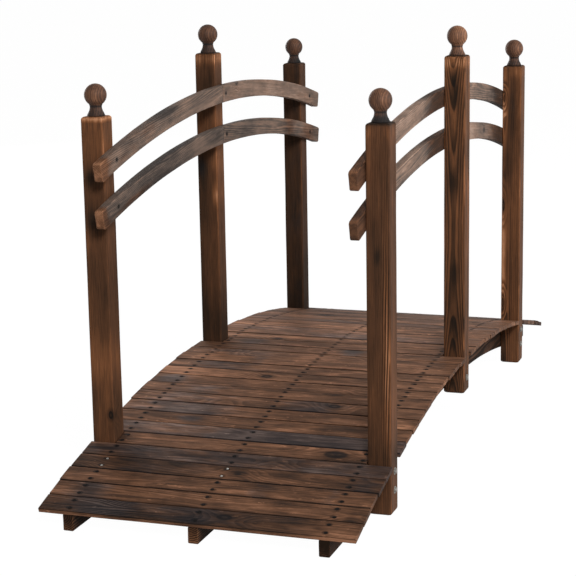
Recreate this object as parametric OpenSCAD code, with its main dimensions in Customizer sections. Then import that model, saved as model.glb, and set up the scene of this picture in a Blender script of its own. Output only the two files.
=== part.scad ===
// Arched timber garden bridge: slats on three curved stringers, posts with
// turned finials, and two curved rails a side, each lapped from two halves.
// X runs across the bridge, Y along it from front to back, and Z up.
// The ground is at z = 0, below the middle of the deck.

/* [Deck] */
// Length of a full slat, across the bridge
slat_length = 670; // [500:10:1200]
// Width of a slat, along the bridge
slat_width = 52; // [40:1:80]
// Thickness of a slat
slat_thickness = 10; // [8:1:16]
// Gap between neighbouring slats
slat_gap = 2.2; // [1:0.1:6]
// Radius of a slat's two upper edges
slat_ease = 1.5; // [0.5:0.1:3]
// Slats on each ramp, outside the end posts
ramp_slats = 5; // [3:1:8]
// Slats in each bay, between neighbouring posts
bay_slats = 11; // [7:1:16]
// Radius of the arch at the walking surface
deck_radius = 3360; // [2600:10:4500]
// Height of the walking surface at each end
deck_end_height = 43; // [36:1:60]

/* [Stringers] */
// Thickness of a stringer, across the bridge
stringer_thickness = 22; // [16:1:40]
// Depth of a stringer at the crown
stringer_depth = 71; // [50:1:90]
// Length of the flat foot at each end of a stringer
stringer_foot = 100; // [50:1:140]
// How far a stringer ends short of the deck's end
stringer_setback = 3; // [0:1:20]

/* [Posts] */
// Width of a post, both ways
post_size = 50; // [40:1:70]
// Radius of a post's upright edges
post_edge_round = 4; // [1:0.5:8]
// Radius of a post's top edges
post_top_round = 5; // [1:0.5:8]
// How far the slats stand out past the posts
slat_overhang = 5; // [0:1:30]
// Gap along the deck between a post and the slats beside it
post_fit = 3.2; // [2.5:0.1:8]
// Gap across the deck between a post and the short slat inside it
short_slat_fit = 1; // [0.5:0.1:4]
// How far a middle post hangs below the walking surface
middle_post_drop = 90; // [60:1:120]
// How far an end post stands above its upper rail
end_post_rise = 69; // [30:1:150]
// How far a middle post stands above its upper rail
middle_post_rise = 76; // [30:1:150]

/* [Rails] */
// Depth of a rail
rail_depth = 41; // [30:1:60]
// Thickness of a rail, across the bridge
rail_thickness = 18; // [12:1:30]
// Radius of a rail's upper edge
rail_radius = 2940; // [2400:10:4500]
// Height of the upper rail's upper edge above the crown of the deck
upper_rail_height = 628; // [450:1:900]
// Drop from the upper rail to the lower one
rail_drop = 98; // [70:1:200]
// How far a rail runs past the middle of an end post
rail_overhang = 85; // [40:1:150]
// Radius of the corners at a rail's ends
rail_end_round = 8; // [2:1:12]
// Length of the half-lap that joins a rail's two halves at the middle post
rail_lap = 38; // [20:1:48]

/* [Finials] */
// Diameter of the ball
ball_diameter = 47; // [36:1:60]
// Height of the ball's centre above the post
ball_height = 43.5; // [38:0.5:60]
// Diameter of the neck
neck_diameter = 25; // [18:1:32]
// Height at which the neck is narrowest
neck_height = 20; // [14:1:26]
// How far the collar stands out past the neck
collar_reach = 6; // [2:1:8]
// Height of the collar's upright edge
collar_height = 4; // [2:1:8]

/* [Hidden] */

// Facets on small rounds, and on the wide arcs of the arch
$fn = 64;
arch_fn = 1440;

// Seat of a slat on the stringers, and play at the shoulders of a half-lap
seat_gap = 0.1;
lap_gap = 0.4;

// Colours of the stained timber
deck_colour = "#5b3527";
stringer_colour = "#6d4630";
post_colour = "#7a4a30";
rail_colour = "#806250";
finial_colour = "#70452f";

// Sides of the bridge
left = -1;
right = 1;
front = -1;
middle = 0;
back = 1;

// Layout along the arc of the deck, measured from the crown
slat_pitch = slat_width + slat_gap;
post_slot = post_size + 2 * post_fit;
short_slat_width = post_slot - 2 * slat_gap;
bay_start = post_slot / 2;
bay_arc = bay_slats * slat_pitch - slat_gap;
post_arc = bay_start + bay_arc + post_slot / 2;
ramp_start = post_arc + post_slot / 2;
ramp_arc = ramp_slats * slat_pitch - slat_gap;

function arc_angle(s) = s / deck_radius * 180 / PI;

// Height of the crown, set by the deck's ends
last_slat_angle = arc_angle(ramp_start + ramp_arc - slat_width / 2);
deck_end_y = deck_radius * sin(last_slat_angle) + slat_width / 2 * cos(last_slat_angle);
deck_end_drop = deck_radius * (1 - cos(last_slat_angle)) + slat_width / 2 * sin(last_slat_angle);
crown = deck_end_height + deck_end_drop;
deck_centre_z = crown - deck_radius;

// Stringers: the upper arc carries the slats, and the lower arc springs from the feet
stringer_radius = deck_radius - slat_thickness - seat_gap;
stringer_end_y = deck_end_y - stringer_setback;
under_crown = deck_centre_z + stringer_radius - stringer_depth;
under_spring_y = stringer_end_y - stringer_foot;
under_radius = (under_spring_y ^ 2 + under_crown ^ 2) / (2 * under_crown);

// Places across the bridge
post_x = slat_length / 2 - slat_overhang - post_size / 2;
post_inner_x = post_x - post_size / 2;
outer_stringer_x = post_inner_x - stringer_thickness / 2;
rail_x = post_inner_x - rail_thickness / 2;
short_slat_length = 2 * (post_inner_x - short_slat_fit);

// Posts stand plumb where a short slat leaves room for them
post_y = (deck_radius - slat_thickness / 2) * sin(arc_angle(post_arc));

// Rails
upper_rail_z = crown + upper_rail_height;
lower_rail_z = upper_rail_z - rail_drop;
rail_half_angle = asin((post_y + rail_overhang) / rail_radius);

function rail_edge_z(y) = upper_rail_z - rail_radius + sqrt(rail_radius ^ 2 - y ^ 2);

// Feet and tops of the end posts and of the middle posts
function post_foot(row) = row == middle ? crown - middle_post_drop : 0;
function post_top(row) = row == middle
    ? upper_rail_z + middle_post_rise
    : rail_edge_z(post_y) + end_post_rise;

// A flat shape drawn with Y across and Z up, made as thick as asked across the bridge
module across(thickness) {
    rotate([90, 0, 90])
        linear_extrude(thickness, center = true)
            children();
}

// A rectangle on its base line, with its two upper corners rounded
module round_topped(width, height, radius) {
    translate([-width / 2, 0])
        square([width, height - radius]);
    translate([radius - width / 2, 0])
        square([width - 2 * radius, height]);
    for (side = [-1, 1])
        translate([side * (width / 2 - radius), height - radius])
            circle(radius);
}

module round_square(width, radius) {
    square([width, width - 2 * radius], center = true);
    square([width - 2 * radius, width], center = true);
    for (x = [-1, 1], y = [-1, 1])
        translate([x, y] * (width / 2 - radius))
            circle(radius);
}

// One slat, flat and tangent to the arch at its own middle
module slat(s, length, width) {
    color(deck_colour)
        translate([0, 0, deck_centre_z])
            rotate([-arc_angle(s), 0, 0])
                translate([0, 0, deck_radius - slat_thickness])
                    across(length)
                        round_topped(width, slat_thickness, slat_ease);
}

module slat_run(end, start, count) {
    for (i = [0 : count - 1])
        slat(end * (start + slat_width / 2 + i * slat_pitch), slat_length, slat_width);
}

module ramp(end) {
    slat_run(end, ramp_start, ramp_slats);
}

module bay(end) {
    slat_run(end, bay_start, bay_slats);
}

// The slat between two posts is short, so that they can pass it
module post_slat(row) {
    slat(row * post_arc, short_slat_length, short_slat_width);
}

module stringer(x) {
    color(stringer_colour)
        translate([x, 0, 0])
            across(stringer_thickness)
                difference() {
                    intersection() {
                        translate([0, deck_centre_z])
                            circle(stringer_radius, $fn = arch_fn);
                        translate([-stringer_end_y, 0])
                            square([2 * stringer_end_y, crown]);
                    }
                    translate([0, under_crown - under_radius])
                        circle(under_radius, $fn = arch_fn);
                }
}

// Upright edges rounded in plan, and top edges in both elevations
module post(side, row) {
    height = post_top(row) - post_foot(row);
    color(post_colour)
        translate([side * post_x, row * post_y, post_foot(row)])
            intersection() {
                linear_extrude(height)
                    round_square(post_size, post_edge_round);
                across(post_size)
                    round_topped(post_size, height, post_top_round);
                rotate(90)
                    across(post_size)
                        round_topped(post_size, height, post_top_round);
            }
}

// Turned finial: collar, hollow cove up to the neck, and ball
module finial(side, row) {
    neck_r = neck_diameter / 2;
    cove_rise = neck_height - collar_height;
    cove_r = (collar_reach ^ 2 + cove_rise ^ 2) / (2 * collar_reach);
    color(finial_colour)
        translate([side * post_x, row * post_y, post_top(row)])
            rotate_extrude() {
                square([neck_r + collar_reach, collar_height]);
                difference() {
                    square([neck_r + collar_reach, neck_height]);
                    translate([neck_r + cove_r, neck_height])
                        circle(cove_r, $fn = 4 * $fn);
                }
                square([neck_r, ball_height]);
                intersection() {
                    translate([0, ball_height])
                        circle(d = ball_diameter);
                    translate([0, ball_height - ball_diameter])
                        square([ball_diameter, 2 * ball_diameter]);
                }
            }
}

// A point at an angle from the top of an arc
function on_arc(radius, angle) = radius * [sin(angle), cos(angle)];

// Band between two arcs, as long as the whole rail
module rail_band(inner, outer) {
    reach = 2 * outer;
    intersection() {
        difference() {
            circle(outer, $fn = arch_fn);
            circle(inner, $fn = arch_fn);
        }
        polygon([[0, 0], on_arc(reach, -rail_half_angle), on_arc(reach, rail_half_angle)]);
    }
}

// What is cut from a corner of the rail to round it: up is 1 at the upper edge, -1 at the lower
module rail_corner(edge_radius, up) {
    centre_radius = edge_radius - up * rail_end_round;
    angle = rail_half_angle - asin(rail_end_round / centre_radius);
    outward = 2 * rail_end_round * [cos(rail_half_angle), -sin(rail_half_angle)];
    centre = on_arc(centre_radius, angle);
    beyond = on_arc(edge_radius + up * rail_end_round, angle);
    difference() {
        polygon([centre, beyond, beyond + outward, centre + outward]);
        translate(centre)
            circle(rail_end_round);
    }
}

// One half of a rail seen from the side, from its shoulder near the middle post to its end
module rail_half(end, shoulder) {
    inner = rail_radius - rail_depth;
    mirror([end == front ? 1 : 0, 0])
        difference() {
            rail_band(inner, rail_radius);
            translate([shoulder - rail_radius, 0])
                square(rail_radius);
            rail_corner(rail_radius, 1);
            rail_corner(inner, -1);
        }
}

// Two layers of half the thickness: the front half's tongue lies against the post, the back half's covers it
module rail(side, end, top_z) {
    color(rail_colour)
        translate([side * rail_x, 0, top_z - rail_radius])
            for (layer = [-1, 1])
                translate([side * layer * rail_thickness / 4, 0, 0])
                    across(rail_thickness / 2)
                        rail_half(end, (end * layer * rail_lap + lap_gap) / 2);
}

stringer(left * outer_stringer_x);  // left_stringer
stringer(0);  // centre_stringer
stringer(right * outer_stringer_x);  // right_stringer
ramp(front);  // front_ramp_slats
post_slat(front);  // front_post_slat
bay(front);  // front_bay_slats
post_slat(middle);  // middle_post_slat
bay(back);  // back_bay_slats
post_slat(back);  // back_post_slat
ramp(back);  // back_ramp_slats
post(left, front);  // front_left_post
post(left, middle);  // middle_left_post
post(left, back);  // back_left_post
post(right, front);  // front_right_post
post(right, middle);  // middle_right_post
post(right, back);  // back_right_post
finial(left, front);  // front_left_finial
finial(left, middle);  // middle_left_finial
finial(left, back);  // back_left_finial
finial(right, front);  // front_right_finial
finial(right, middle);  // middle_right_finial
finial(right, back);  // back_right_finial
rail(left, front, upper_rail_z);  // front_left_upper_rail
rail(left, back, upper_rail_z);  // back_left_upper_rail
rail(left, front, lower_rail_z);  // front_left_lower_rail
rail(left, back, lower_rail_z);  // back_left_lower_rail
rail(right, front, upper_rail_z);  // front_right_upper_rail
rail(right, back, upper_rail_z);  // back_right_upper_rail
rail(right, front, lower_rail_z);  // front_right_lower_rail
rail(right, back, lower_rail_z);  // back_right_lower_rail
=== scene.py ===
# %% [markdown]
# # A scorched timber moon bridge
# The object is a small garden bridge: an arched deck of narrow slats on three curved stringers,
# six square posts that end in turned balls, and two arched rails along each side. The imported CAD
# model is loaded first. It fixes every size and place, so what follows only adds what wood has
# and a plain solid lacks: eased and slightly crooked edges, grain, knots, scorch and nails.

import math
import random

import bmesh
import bpy
from mathutils import Matrix, Vector, noise


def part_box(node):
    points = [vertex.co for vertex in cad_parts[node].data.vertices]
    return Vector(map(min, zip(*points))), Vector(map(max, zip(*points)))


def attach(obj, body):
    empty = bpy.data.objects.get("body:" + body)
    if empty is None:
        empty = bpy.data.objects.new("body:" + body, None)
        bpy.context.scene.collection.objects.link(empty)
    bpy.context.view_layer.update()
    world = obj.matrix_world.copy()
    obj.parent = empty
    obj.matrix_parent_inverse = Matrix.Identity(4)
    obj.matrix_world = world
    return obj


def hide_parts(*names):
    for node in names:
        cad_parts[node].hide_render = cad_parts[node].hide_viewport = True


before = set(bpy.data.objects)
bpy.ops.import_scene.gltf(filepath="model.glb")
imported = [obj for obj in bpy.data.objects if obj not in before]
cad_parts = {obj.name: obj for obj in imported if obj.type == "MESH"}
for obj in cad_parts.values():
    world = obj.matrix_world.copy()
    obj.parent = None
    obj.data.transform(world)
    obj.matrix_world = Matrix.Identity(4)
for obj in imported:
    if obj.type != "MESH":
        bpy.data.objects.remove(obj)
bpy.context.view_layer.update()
scene = bpy.context.scene
scene.view_settings.view_transform = "Standard"

# %% [markdown]
# ## The camera
# A product photograph is taken from far away with a long lens. The camera's place and turn were
# fitted to the posts, rails and deck corners in the photograph. A camera could be aimed with a
# Track To constraint, but three turns about named axes say more plainly what was measured.

# %% Set the camera
PHOTO_SIDE = 576
FOCAL_PIXELS = 1776.7
SENSOR = 36.0
CAMERA_AT = Vector((1.2513, -3.9892, 1.2095))
YAW, PITCH, ROLL = 0.3296, -0.2094, 0.0174

camera = bpy.data.objects.new("camera", bpy.data.cameras.new("camera"))
scene.collection.objects.link(camera)
camera.data.sensor_width = SENSOR
camera.data.lens = FOCAL_PIXELS * SENSOR / PHOTO_SIDE
aim = Matrix.Rotation(YAW, 3, "Z") @ Matrix.Rotation(PITCH, 3, "X") @ Matrix.Rotation(ROLL, 3, "Y")
level_view = Matrix.Rotation(math.pi / 2, 3, "X")
camera.matrix_world = Matrix.Translation(CAMERA_AT) @ (aim @ level_view).to_4x4()
scene.camera = camera
print("lens in mm:", round(camera.data.lens, 1))

# %% [markdown]
# ## Sums on sockets
# A finish is a sum of patterns, and a sum is easiest to read as one. This class wraps a socket of
# a node tree, so that `1 - mask` or `a * 0.5 + b` adds the Math nodes by itself. Every other node
# comes from the one method `node`: its type, its settings, then the values or links of its sockets.


# %% Wrap a socket
class Wire:
    """A socket of a node tree that takes part in Python sums."""

    def __init__(self, tree, socket=None):
        self.tree, self.socket = tree, socket

    def node(self, kind, settings=None, sockets=None, out=0):
        made = self.tree.nodes.new("ShaderNode" + kind)
        for key, value in (settings or {}).items():
            if key == "stops":
                steps = made.color_ramp.elements
                for index, (at, colour) in enumerate(value):
                    step = steps[index] if index < len(steps) else steps.new(at)
                    step.position, step.color = at, colour
            else:
                setattr(made, key, value)
        for key, value in (sockets or {}).items():
            if isinstance(value, Wire):
                self.tree.links.new(value.socket, made.inputs[key])
            else:
                made.inputs[key].default_value = value
        return Wire(self.tree, made.outputs[out] if made.outputs else None)

    def other(self, out):
        return Wire(self.tree, self.socket.node.outputs[out])

    def sum(self, operation, *values):
        return self.node("Math", {"operation": operation}, dict(enumerate(values)))

    def __add__(self, value):
        return self.sum("ADD", self, value)

    def __sub__(self, value):
        return self.sum("SUBTRACT", self, value)

    def __rsub__(self, value):
        return self.sum("SUBTRACT", value, self)

    def __mul__(self, value):
        return self.sum("MULTIPLY", self, value)

    def __truediv__(self, value):
        return self.sum("DIVIDE", self, value)

    def __pow__(self, value):
        return self.sum("POWER", self, value)

    def __abs__(self):
        return self.sum("ABSOLUTE", self)

    __radd__, __rmul__ = __add__, __mul__


print("sums on sockets ready")


# %% Name the patterns
def smooth(value, low, high):
    """0 at low and 1 at high, with a soft start and end."""
    return value.node("MapRange", {"interpolation_type": "SMOOTHSTEP"},
                      {"Value": value, "From Min": low, "From Max": high})


def stretched(vector, factors):
    return vector.node("VectorMath", {"operation": "MULTIPLY"}, {0: vector, 1: factors})


def shifted(vector, step):
    return vector.node("VectorMath", {"operation": "ADD"}, {0: vector, 1: step})


def parts(vector):
    x = vector.node("SeparateXYZ", None, {0: vector})
    return x, x.other(1), x.other(2)


def cloud(vector, factors, detail=2.0, rough=0.5, out=0):
    """Soft random pattern, with factors as lumps per metre along each axis."""
    return vector.node("TexNoise", None, {"Vector": stretched(vector, factors), "Scale": 1.0,
                                          "Detail": detail, "Roughness": rough}, out)


def blend(mask, below, above):
    return mask.node("Mix", {"data_type": "RGBA"}, {0: mask, 6: below, 7: above}, 2)


def shade(colour, value):
    return colour.node("VectorMath", {"operation": "SCALE"}, {0: colour, "Scale": value})


def tint(red, green, blue):
    """A colour as a paint chart writes it, 0 to 255, turned into the linear light of the shaders."""
    steps = [c / 255 for c in (red, green, blue)]
    return [c / 12.92 if c < 0.04045 else ((c + 0.055) / 1.055) ** 2.4 for c in steps] + [1.0]


print("patterns ready")

# %% [markdown]
# ## Studio
# The photograph is cut out on white, with soft light that comes mostly from the right. A white
# world would light the wood too much, so the world is white only to camera, glossy and
# transmitted rays and dim to all others. The floor does the same but not fully, so that the
# bridge's soft shadow still shows on it.

# %% Light the world
WORLD_LIGHT = 0.13


def clear_desk(holder):
    """The node tree of a material or a world, emptied and wrapped."""
    holder.use_nodes = True
    holder.node_tree.nodes.clear()
    return Wire(holder.node_tree)


def seen_directly(desk):
    path = desk.node("LightPath", None, None, "Is Camera Ray")
    return path.sum("MAXIMUM", path, path.other("Is Glossy Ray").sum(
        "MAXIMUM", path.other("Is Glossy Ray"), path.other("Is Transmission Ray")))


scene.world = bpy.data.worlds.new("studio_world")
desk = clear_desk(scene.world)
dim = desk.node("Background", None, {"Color": (1.0, 0.985, 0.96, 1.0), "Strength": WORLD_LIGHT})
white = desk.node("Background", None, {"Color": (1.0, 1.0, 1.0, 1.0), "Strength": 1.0})
lit = desk.node("MixShader", None, {0: seen_directly(desk), 1: dim, 2: white})
desk.node("OutputWorld", None, {"Surface": lit})
print("world light", WORLD_LIGHT)

# %% Lay the floor
FLOOR_REACH, FLOOR_DROP = 60.0, 0.0005
FLOOR_WHITENESS, FLOOR_GLOW = 0.94, 1.05


def place_mesh(name, points, faces, material):
    """A new object of these points and faces, in the scene."""
    mesh = bpy.data.meshes.new(name)
    mesh.from_pydata(points, [], faces)
    mesh.materials.append(material)
    made = bpy.data.objects.new(name, mesh)
    scene.collection.objects.link(made)
    return made


paper = bpy.data.materials.new("pale_paper")
desk = clear_desk(paper)
matt = desk.node("BsdfDiffuse", None, {"Color": (0.6, 0.6, 0.6, 1.0)})
glow = desk.node("Emission", None, {"Color": (1.0, 1.0, 1.0, 1.0), "Strength": FLOOR_GLOW})
sheet = desk.node("MixShader", None, {0: seen_directly(desk) * FLOOR_WHITENESS, 1: matt, 2: glow})
desk.node("OutputMaterial", None, {"Surface": sheet})
corners = [(x * FLOOR_REACH, y * FLOOR_REACH, 0) for x, y in ((-1, -1), (1, -1), (1, 1), (-1, 1))]
floor = place_mesh("floor", corners, [(0, 1, 2, 3)], paper)
floor.location.z = -FLOOR_DROP
print("floor", FLOOR_REACH * 2, "m wide")

# %% [markdown]
# Two large area lamps stand for the soft boxes of a studio. The side lamp, on the right, makes
# right-hand faces brighter than front faces, as in the photograph. The front lamp lights the deck
# and the faces turned to the camera. A third, low one behind on the left shows the faces that the
# photograph hides. An area lamp of P watts at a distance d lights a white surface fully when P is
# about ten times d squared.

# %% Hang the lamps
LAMP_AIM = Vector((0.0, 0.0, 0.35))


def soft_box(name, at, side, level):
    lamp = bpy.data.lights.new(name, "AREA")
    lamp.shape, lamp.size = "SQUARE", side
    way = LAMP_AIM - Vector(at)
    lamp.energy = level * math.pi ** 2 * way.length_squared
    holder = bpy.data.objects.new(name, lamp)
    holder.location = at
    holder.rotation_euler = way.to_track_quat("-Z", "Y").to_euler()
    scene.collection.objects.link(holder)
    print(name, round(lamp.energy), "W")


soft_box("front_lamp", (2.2, -4.4, 3.1), 1.1, 0.60)
soft_box("side_lamp", (4.4, 0.3, 2.2), 1.6, 0.62)
soft_box("back_lamp", (-3.8, 3.6, 1.3), 1.8, 0.40)

# %% [markdown]
# ## Wood
# The timber is fir that was scorched with a flame, brushed and oiled. Fir has pale early wood
# and hard dark late wood, so a sawn face shows lines, and arches where the saw runs along the
# rings. A painted pattern would slip at the edges. Here each board carries its own place in the
# log as a mesh attribute, "grain", and the shader works out the distance to the pith. Lines,
# arches and end grain then follow by themselves on every face.
#
# Five more attributes travel with the boards. "place" is where a point lies on its own board,
# "look" holds tone, scorch and a seed, "habit" says how knotty, wavy and marked the board is,
# "haze" is how much of the grey film of smoke lies on it, and "eye" is the way to a chosen knot.

# %% Find the nearest knot
KNOT_CELL, FAR_OFF = (0.30, 0.075, 0.075), 0.2


def read(desk, name):
    return desk.node("Attribute", {"attribute_name": name}, None, "Vector")


def knot_distance(desk, here, knotty):
    """Distance to the next knot: some strewn through the log, a few listed."""
    lattice = stretched(here, tuple(1 / c for c in KNOT_CELL))
    found = desk.node("TexVoronoi", None, {"Vector": lattice, "Scale": 1.0}, "Position")
    gap = desk.node("VectorMath", {"operation": "SUBTRACT"}, {0: found, 1: lattice})
    x, y, z = parts(stretched(gap, KNOT_CELL))
    absent = desk.sum("GREATER_THAN", parts(found.other("Color"))[0], knotty)
    strewn = (x * x * 0.45 + y * y + z * z * 0.2) ** 0.5 + absent * FAR_OFF
    x, y, z = parts(read(desk, "eye"))
    return desk.sum("MINIMUM", strewn, (x * x * 0.35 + y * y + z * z * 0.2) ** 0.5)


# %% Draw the growth rings
def year_lines(desk, grain, here, swell, wavy, ring):
    """0 in early wood, rising to 1 in the dark late wood of each year."""
    sway = shifted(cloud(here, (2.2, 9.0, 9.0), 2.0, 0.5, 1), (-0.5, -0.5, -0.5))
    _, y, z = parts(shifted(grain, shade(stretched(sway, (0.0, 0.02, 0.02)), wavy)))
    uneven = cloud(here, (0.7, 34.0, 34.0), 2.0)
    count = ((y * y + z * z) ** 0.5 + swell * 0.011) / ring + uneven * wavy * 2.0
    phase = desk.sum("FRACT", count)
    return smooth(phase, 0.10, 0.80) * smooth(phase, 1.0, 0.86)


print("knots and rings ready")

# %% Make the wood finish
KNOT_RIM, KNOT_HEART = (0.0105, 0.0075), (0.0060, 0.0025)
KNOT_HALO, KNOT_SWELL = (0.022, 0.008), (0.050, 0.0)


def timber(name, brown, grey, ring=0.0034, rings=0.4, streaks=0.4, blotch=0.4, mottle=1.0, worn=0.0,
           sheen=0.08, extra=None):
    """Scorched fir: brown and grey hold colours from barely singed to charred."""
    material = bpy.data.materials.new(name)
    desk = clear_desk(material)
    grain, place = read(desk, "grain"), read(desk, "place")
    tone, scorch, seed = parts(read(desk, "look"))
    knotty, wavy, marked = parts(read(desk, "habit"))
    away = desk.node("CombineXYZ", None, {0: seed * 3.17, 1: seed * 1.31, 2: seed * 2.23})
    here, spot = shifted(grain, away), shifted(place, away)

    knot = knot_distance(desk, here, knotty)
    core = smooth(knot, *KNOT_RIM) * (1 - smooth(knot, *KNOT_HEART) * 0.7)
    halo = smooth(knot, *KNOT_HALO)
    line = year_lines(desk, grain, here, smooth(knot, *KNOT_SWELL), wavy, ring)
    fibre = cloud(here, (22.0, 560.0, 560.0), 2.0, 0.6)
    streak = cloud(here, (8.0, 170.0, 170.0), 3.0, 0.7)
    broad = cloud(here, (2.2, 34.0, 34.0), 2.0, 0.5)
    patch = cloud(spot, (9.0 * mottle, 26.0 * mottle, 26.0 * mottle), 4.0, 0.65)

    burn = (0.42 + scorch + (patch - 0.5) * blotch * 1.1 + (broad - 0.5) * blotch
            + (streak - 0.5) * streaks + (fibre - 0.5) * 0.35 + (line - 0.45) * rings * marked
            + halo * 0.2 + core * 0.35)
    if worn:
        burn = burn - smooth(cloud(spot, (40.0, 80.0, 80.0), 3.0, 0.65), 0.62, 0.74) * worn
    if extra:
        burn = extra(burn, place, spot)
    haze = desk.node("Attribute", {"attribute_name": "haze"}, None, "Fac")
    drift = cloud(shifted(spot, (3.0, 5.0, 7.0)), (8.0 * mottle, 26.0 * mottle, 26.0 * mottle),
                  4.0, 0.65)
    veil = smooth(haze + (drift - 0.5) * 1.1, 0.20, 0.80)
    colour = blend(veil, burn.node("ValToRGB", {"stops": brown}, {0: burn}),
                   burn.node("ValToRGB", {"stops": grey}, {0: burn}))
    height = line * marked * 0.4 + fibre * 0.4 + streak * 0.5 - core * 0.5
    surface = desk.node("BsdfPrincipled", None, {
        "Base Color": shade(colour, tone),
        "Roughness": 0.62 + (burn - 0.5) * 0.15 + (fibre - 0.5) * 0.15,
        "Normal": desk.node("Bump", None, {"Strength": 0.5, "Distance": 0.0008, "Height": height}),
        "Specular IOR Level": sheen})
    desk.node("OutputMaterial", None, {"Surface": surface})
    print(name, len(material.node_tree.nodes), "nodes")
    return material


def stops(*colours):
    """Ramp stops at even steps from barely singed to charred."""
    return [(k / (len(colours) - 1), tint(*colour)) for k, colour in enumerate(colours)]


# %% [markdown]
# ## Boards
# Each board could be a cube with a Bevel modifier. A loft gives more: a rounded rectangle is
# repeated along the board, so the section can shrink at eased ends, follow an arc, step down at a
# lap, or lean a fraction of a millimetre as sawn timber does. A pile gathers the boards that
# belong to one CAD node into one mesh, together with the attributes of the wood finish. Blender's
# noise functions start from the clock, so they get a seed, and every run gives the same boards.


# %% Outline a section
def outline(half_a, half_b, corner, steps=3, flats=3):
    """Points round a rectangle with rounded corners."""
    arcs = []
    for quarter, (sa, sb) in enumerate(((1, 1), (-1, 1), (-1, -1), (1, -1))):
        turns = [math.pi / 2 * (quarter + k / steps) for k in range(steps + 1)]
        arcs.append([(sa * (half_a - corner) + corner * math.cos(t),
                      sb * (half_b - corner) + corner * math.sin(t)) for t in turns])
    points = []
    for arc, following in zip(arcs, arcs[1:] + arcs[:1]):
        (a0, b0), (a1, b1) = arc[-1], following[0]
        points += arc
        points += [(a0 + (a1 - a0) * k / (flats + 1), b0 + (b1 - b0) * k / (flats + 1))
                   for k in range(1, flats + 1)]
    return points


def eased(start, end, half_a, half_b, ease_a, ease_b, pitch):
    """Sections along a board as (length, half_a, half_b), rounded at both ends."""
    ease = max(ease_a, ease_b)
    near = [ease * (1 - math.cos(math.pi / 2 * k / 5)) for k in range(6)]
    count = max(2, round((end - start - 2 * ease) / pitch))
    middle = [start + ease + (end - start - 2 * ease) * k / count for k in range(1, count)]

    def inset(far, radius):
        left = max(0.0, radius - far)
        return radius - math.sqrt(max(0.0, radius ** 2 - left ** 2))

    marks = [start + n for n in near] + middle + [end - n for n in reversed(near)]
    return [(m, half_a - inset(min(m - start, end - m), ease_a),
             half_b - inset(min(m - start, end - m), ease_b)) for m in marks]


print(len(outline(0.5, 0.5, 0.1)), "points round a plain section")


# %% Describe the looks of a board
def patches(base, spots=()):
    """A level on a board: a base, and spots as (place, reach, amount) or with (side, its reach) too."""
    def level(run, a, b):
        total = base
        for at, reach, amount, *across in spots:
            far = ((run - at) / reach) ** 2
            if across:
                far += ((a - across[0]) / across[1]) ** 2
            total += amount * math.exp(-far)
        return total
    return level


def from_log(pith_a, pith_b, drift_a=0.0, drift_b=0.0, bow=0.0, bow_at=0.0):
    """Where a board lay in its log: the pith's side, and how it drifts or bows along the board."""
    return lambda run, a, b: (run, a + pith_a + drift_a * run,
                              b + pith_b + drift_b * run + bow * (run - bow_at) ** 2)


EVERYWHERE, EYE_REACH, OUT_OF_SIGHT = 9.0, 0.08, 40


class Look:
    """Tone, scorch and haze of one board, how it grew, how its rings show and its chosen knots."""

    def __init__(self, tone=1.0, scorch=(0.0,), haze=(0.0,), grown=(0.3, 1.0), marked=(1.0,), eyes=()):
        self.tone, self.grown, self.eyes = tone, grown, eyes
        self.scorch, self.haze, self.marked = patches(*scorch), patches(*haze), patches(*marked)

    def way(self, run, a, b):
        """The way from the nearest chosen knot, measured in knots of the usual size."""
        ways = [Vector(((run - at[0]) / long, (a - at[1]) / wide, (b - at[2]) / wide))
                for at, long, wide in self.eyes]
        nearest = min(ways, key=lambda way: way.length, default=Vector((1.0, 1.0, 1.0)))
        return nearest if nearest.length < EYE_REACH else nearest * OUT_OF_SIGHT


print("scorch amid a spot:", round(patches(0.1, [(0.0, 0.05, 0.2)])(0.0, 0.0, 0.0), 3))


# %% Pile the boards
DOUBLED, WAVER_ALONG, WAVER_ACROSS = 1e-6, 9, 40
noise.seed_set(35)


def skin(first, count, size):
    """Faces over count rings of size points each, with a cap on both ends."""
    faces = []
    for low in range(first, first + (count - 1) * size, size):
        faces += [(low + i, low + (i + 1) % size, low + size + (i + 1) % size, low + size + i)
                  for i in range(size)]
    faces.append(tuple(range(first + size - 1, first - 1, -1)))
    faces.append(tuple(range(first + (count - 1) * size, first + count * size)))
    return faces


class Pile:
    """Boards of one CAD node, gathered into one mesh."""

    def __init__(self):
        self.points, self.faces = [], []
        self.held = {key: [] for key in ("grain", "place", "look", "habit", "eye")}
        self.haze = []

    def board(self, rings, to_world, to_log, look, seed, crooked=0.0004):
        """rings hold (length, a, b) points; to_log gives a point's place in its log."""
        first, away = len(self.points), Vector((seed * 7.7, seed * 3.3, 0))
        for run, a, b in (point for ring in rings for point in ring):
            at = Vector((run * WAVER_ALONG, a * WAVER_ACROSS, b * WAVER_ACROSS)) + away
            lean = noise.noise_vector(at) * crooked
            self.points.append(to_world(run, a + lean.y, b + lean.z))
            self.held["grain"].append(to_log(run, a, b))
            self.held["place"].append((run, a, b))
            self.held["look"].append((look.tone, look.scorch(run, a, b), seed))
            self.held["habit"].append((*look.grown, look.marked(run, a, b)))
            self.held["eye"].append(look.way(run, a, b))
            self.haze.append(look.haze(run, a, b))
        self.faces += skin(first, len(rings), len(rings[0]))

    def piece(self, node, slot, material):
        made = place_mesh(node + "_timber", self.points, self.faces, material)
        mesh = made.data
        for key, values in self.held.items():
            mesh.attributes.new(key, "FLOAT_VECTOR", "POINT").data.foreach_set(
                "vector", [c for value in values for c in value])
        mesh.attributes.new("haze", "FLOAT", "POINT").data.foreach_set("value", self.haze)
        tidy_faces(made)
        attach(made, "root")
        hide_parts(node)
        print(made.name, len(mesh.polygons), "faces")


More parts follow.
